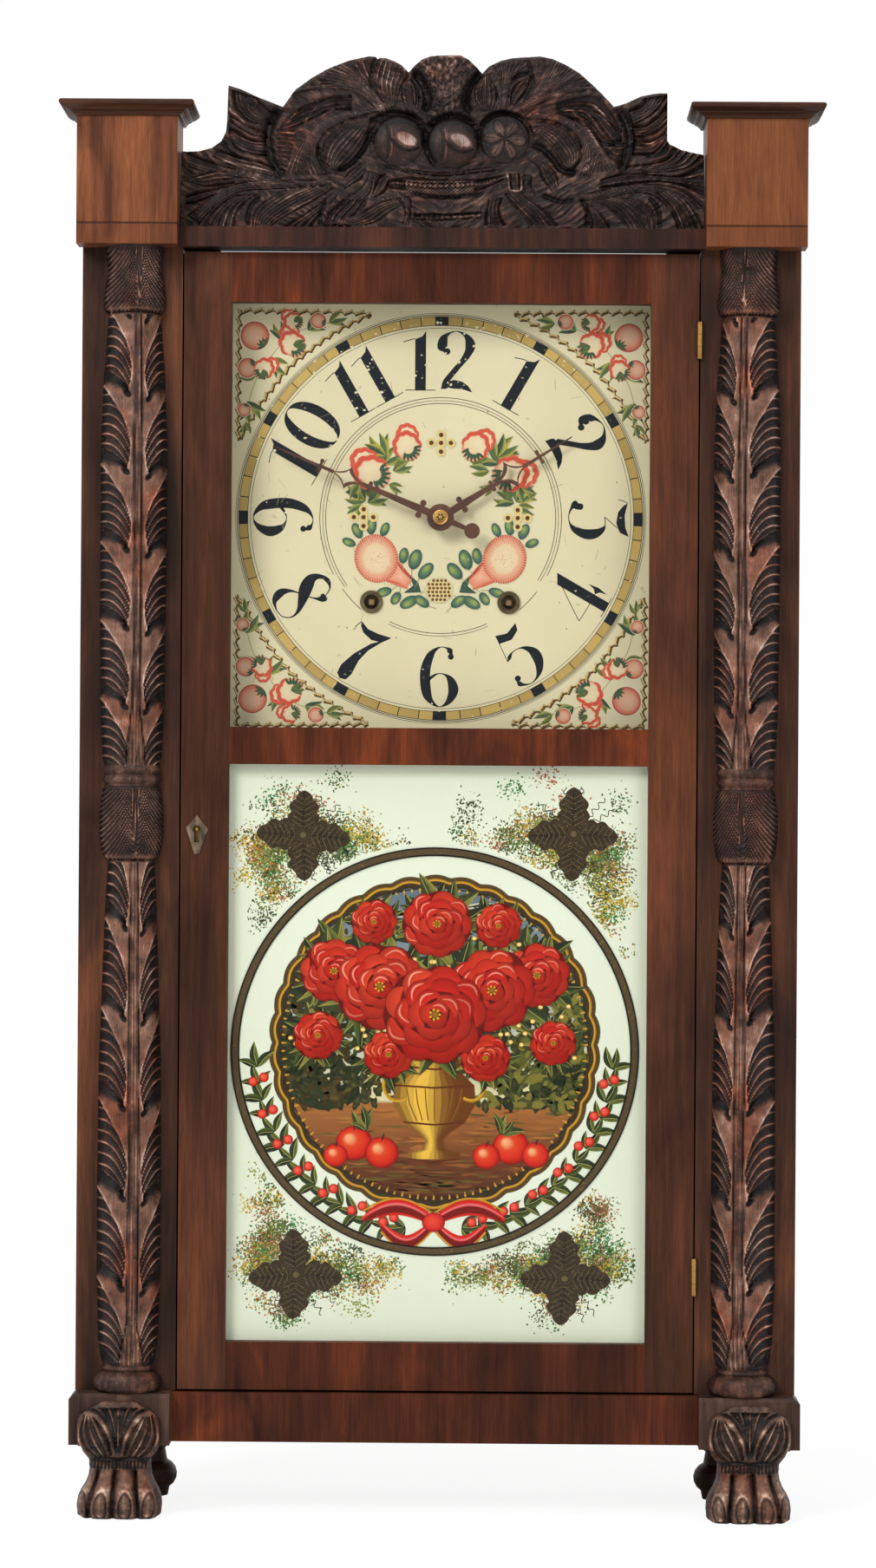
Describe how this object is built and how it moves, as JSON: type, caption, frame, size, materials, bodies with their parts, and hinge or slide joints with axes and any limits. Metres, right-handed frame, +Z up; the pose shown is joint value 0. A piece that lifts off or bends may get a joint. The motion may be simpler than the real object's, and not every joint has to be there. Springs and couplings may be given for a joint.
{
  "type": "carved half-column shelf clock",
  "caption": "Tall carved mahogany shelf clock with half columns, crest, paw feet, painted dial, glazed door with painted tablet and a weight-driven striking movement.",
  "frame": {"origin": "centre of the bounding box at the bottom of the feet", "axes": "+Z up, +X to the right seen from the front, -Y out of the dial towards the viewer"},
  "size_m": [0.493, 0.1539, 0.946],
  "materials": {
    "mahogany": "worn shellac polish",
    "dark_carved": "dark stained, worn on the high points",
    "pine": "bare aged pine",
    "clear_glass": "clear",
    "painted_glass": "painted behind the glass",
    "dial_paint": "aged cream paint with gilding",
    "brass": "aged brass",
    "iron": "dark iron",
    "drum_wood": "turned hardwood",
    "gut_cord": "gut cord",
    "bone": "aged bone"
  },
  "bodies": {
    "case": {"backboard": "pine", "side_left": "mahogany", "side_right": "mahogany", "top_board": "pine", "bottom_board": "pine", "stile_left": "mahogany", "stile_right": "mahogany", "top_rail": "mahogany", "base_rail": "mahogany", "plinth_blocks": "mahogany", "paw_foot_left": "dark_carved", "paw_foot_right": "dark_carved", "rear_feet": "dark_carved", "column_left": "dark_carved", "column_right": "dark_carved", "top_blocks": "mahogany", "block_caps": "dark_carved", "crest": "dark_carved", "inner_boards": "pine", "dial": "dial_paint", "dial_fittings": "brass", "front_plate": "brass", "back_plate": "brass", "bell": "brass", "pulley_brackets": "iron", "hinge_case_leaves": "brass", "drum_cords": "gut_cord"},
    "door": {"door_stile_left": "mahogany", "door_stile_right": "mahogany", "door_rails": "mahogany", "dial_glass": "clear_glass", "tablet_glass": "painted_glass", "glass_beads": "mahogany", "door_lock": "brass", "escutcheon": "bone", "hinge_door_leaves": "brass"},
    "lock_bolt": {"lock_bolt": "brass"},
    "minute_hand": {"minute_hand": "iron"},
    "hour_hand": {"hour_hand": "iron"},
    "minute_wheel": {"minute_wheel": "brass"},
    "time_great_wheel": {"time_great_wheel": "brass"},
    "second_wheel": {"second_wheel": "brass"},
    "centre_wheel": {"centre_wheel": "brass"},
    "third_wheel": {"third_wheel": "brass"},
    "escape_wheel": {"escape_wheel": "brass"},
    "time_drum": {"time_drum": "drum_wood"},
    "pendulum": {"pendulum": "brass"},
    "verge": {"verge": "iron"},
    "time_pulley": {"time_pulley": "brass"},
    "strike_pulley": {"strike_pulley": "brass"},
    "strike_drum": {"strike_drum": "drum_wood"},
    "strike_great_wheel": {"strike_great_wheel": "brass"},
    "pin_wheel": {"pin_wheel": "brass"},
    "warning_wheel": {"warning_wheel": "brass"},
    "fly": {"fly": "brass"},
    "hammer": {"hammer": "iron"},
    "time_weight": {"time_weight": "iron", "time_fall_cord": "gut_cord"},
    "strike_weight": {"strike_weight": "iron", "strike_fall_cord": "gut_cord"}
  },
  "joints": [
    {"name": "door_swing", "type": "hinge", "parent": "case", "child": "door", "pos_m": [0.1675, -0.0435, 0.45], "axis": [0, 0, 1], "range_deg": [0, 110]},
    {"name": "bolt_throw", "type": "slide", "parent": "door", "child": "lock_bolt", "axis": [-1, 0, 0], "range_m": [0, 0.0045]},
    {"name": "minute_hand_turn", "type": "hinge", "parent": "case", "child": "minute_hand", "pos_m": [0, 0.03, 0.6485], "axis": [0, 1, 0], "continuous": true},
    {"name": "hour_hand_turn", "type": "hinge", "parent": "case", "child": "hour_hand", "pos_m": [0, 0.03, 0.6485], "axis": [0, 1, 0], "continuous": true},
    {"name": "minute_wheel_turn", "type": "hinge", "parent": "case", "child": "minute_wheel", "pos_m": [-0.01358, 0.03, 0.66208], "axis": [0, 1, 0], "continuous": true},
    {"name": "escape_wheel_turn", "type": "hinge", "parent": "case", "child": "escape_wheel", "pos_m": [0, 0.03, 0.5965], "axis": [0, 1, 0], "continuous": true},
    {"name": "third_wheel_turn", "type": "hinge", "parent": "case", "child": "third_wheel", "pos_m": [-0.00726, 0.03, 0.62063], "axis": [0, 1, 0], "continuous": true},
    {"name": "centre_wheel_turn", "type": "hinge", "parent": "case", "child": "centre_wheel", "pos_m": [0, 0.03, 0.6485], "axis": [0, 1, 0], "continuous": true},
    {"name": "second_wheel_turn", "type": "hinge", "parent": "case", "child": "second_wheel", "pos_m": [0.02612, 0.03, 0.62967], "axis": [0, 1, 0], "continuous": true},
    {"name": "time_great_wheel_turn", "type": "hinge", "parent": "case", "child": "time_great_wheel", "pos_m": [0.045, 0.03, 0.5935], "axis": [0, 1, 0], "continuous": true},
    {"name": "pendulum_swing", "type": "hinge", "parent": "case", "child": "pendulum", "pos_m": [0, 0.0015, 0.629], "axis": [0, 1, 0], "range_deg": [-2.5, 2.5]},
    {"name": "verge_swing", "type": "hinge", "parent": "case", "child": "verge", "pos_m": [0, 0.03, 0.6245], "axis": [0, 1, 0], "range_deg": [-2.5, 2.5]},
    {"name": "time_weight_drop", "type": "slide", "parent": "case", "child": "time_weight", "axis": [0, 0, 1], "range_m": [-0.42, 0], "deforming": ["time_fall_cord"]},
    {"name": "time_drum_turn", "type": "hinge", "parent": "case", "child": "time_drum", "pos_m": [0.045, 0.03, 0.5935], "axis": [0, 1, 0], "range_deg": [-1480, 0]},
    {"name": "time_pulley_turn", "type": "hinge", "parent": "case", "child": "time_pulley", "pos_m": [0.1767, 0.03, 0.815], "axis": [0, 1, 0], "range_deg": [0, 1812]},
    {"name": "strike_weight_drop", "type": "slide", "parent": "case", "child": "strike_weight", "axis": [0, 0, 1], "range_m": [-0.42, 0], "deforming": ["strike_fall_cord"]},
    {"name": "strike_drum_turn", "type": "hinge", "parent": "case", "child": "strike_drum", "pos_m": [-0.045, 0.03, 0.5935], "axis": [0, 1, 0], "range_deg": [0, 1480]},
    {"name": "strike_pulley_turn", "type": "hinge", "parent": "case", "child": "strike_pulley", "pos_m": [-0.1767, 0.03, 0.815], "axis": [0, 1, 0], "range_deg": [-1812, 0]},
    {"name": "fly_turn", "type": "hinge", "parent": "case", "child": "fly", "pos_m": [-0.04894, 0.03, 0.67673], "axis": [0, 1, 0], "continuous": true},
    {"name": "warning_wheel_turn", "type": "hinge", "parent": "case", "child": "warning_wheel", "pos_m": [-0.046, 0.03, 0.65817], "axis": [0, 1, 0], "continuous": true},
    {"name": "pin_wheel_turn", "type": "hinge", "parent": "case", "child": "pin_wheel", "pos_m": [-0.05201, 0.03, 0.63369], "axis": [0, 1, 0], "continuous": true},
    {"name": "strike_great_wheel_turn", "type": "hinge", "parent": "case", "child": "strike_great_wheel", "pos_m": [-0.045, 0.03, 0.5935], "axis": [0, 1, 0], "continuous": true},
    {"name": "hammer_lift", "type": "hinge", "parent": "case", "child": "hammer", "pos_m": [-0.078, 0.03, 0.64], "axis": [0, 1, 0], "range_deg": [-12, 0], "stiffness_Nm_per_rad": 0.02, "springref_deg": 8.59}
  ],
  "couplings": [
    {"joint": "minute_wheel_turn", "follows": "minute_hand_turn", "ratio": -0.33333},
    {"joint": "hour_hand_turn", "follows": "minute_hand_turn", "ratio": 0.083333},
    {"joint": "third_wheel_turn", "follows": "escape_wheel_turn", "ratio": -0.125},
    {"joint": "centre_wheel_turn", "follows": "escape_wheel_turn", "ratio": 0.013889},
    {"joint": "second_wheel_turn", "follows": "escape_wheel_turn", "ratio": -0.0023148},
    {"joint": "time_great_wheel_turn", "follows": "escape_wheel_turn", "ratio": 0.00030864},
    {"joint": "verge_swing", "follows": "pendulum_swing", "ratio": 1},
    {"joint": "time_drum_turn", "follows": "time_weight_drop", "rad_per_m": 61.35},
    {"joint": "time_pulley_turn", "follows": "time_weight_drop", "rad_per_m": -75.188},
    {"joint": "strike_drum_turn", "follows": "strike_weight_drop", "rad_per_m": -61.35},
    {"joint": "strike_pulley_turn", "follows": "strike_weight_drop", "rad_per_m": 75.188},
    {"joint": "warning_wheel_turn", "follows": "fly_turn", "ratio": -0.175},
    {"joint": "pin_wheel_turn", "follows": "fly_turn", "ratio": 0.029167},
    {"joint": "strike_great_wheel_turn", "follows": "fly_turn", "ratio": -0.0038889}
  ]
}
